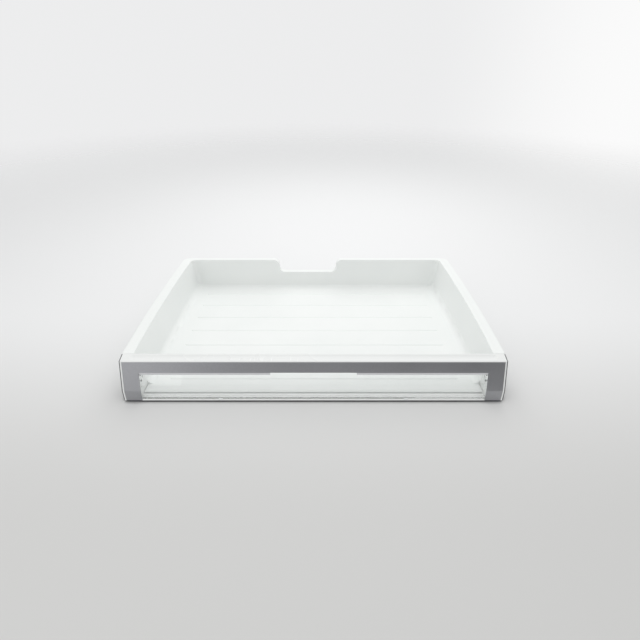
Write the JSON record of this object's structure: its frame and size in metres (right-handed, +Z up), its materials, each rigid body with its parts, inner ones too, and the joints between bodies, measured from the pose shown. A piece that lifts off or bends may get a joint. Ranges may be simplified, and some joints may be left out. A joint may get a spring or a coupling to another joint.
{
  "type": "fridge pantry drawer",
  "caption": "Wide shallow white drawer for a fridge, hung by its side rims, with a ribbed floor, a notched back wall and a leaning grey front round a clear window.",
  "frame": {"origin": "on the ground below the middle of the drawer's box", "axes": "+X to the right seen from the front, the front faces -Y, +Z up"},
  "size_m": [0.7274, 0.462, 0.084],
  "materials": {
    "tub_white": "glossy moulded",
    "frame_white": "glossy moulded",
    "silver_paint": "satin silver-grey paint on moulded plastic",
    "cap_grey": "satin moulded",
    "clear_plastic": "clear",
    "screw_steel": "bright zinc"
  },
  "bodies": {
    "root": {"tub": "tub_white", "front_frame": "frame_white", "decor_plate": "silver_paint", "end_caps": "cap_grey", "window": "clear_plastic", "frame_screws": "screw_steel"}
  },
  "joints": []
}
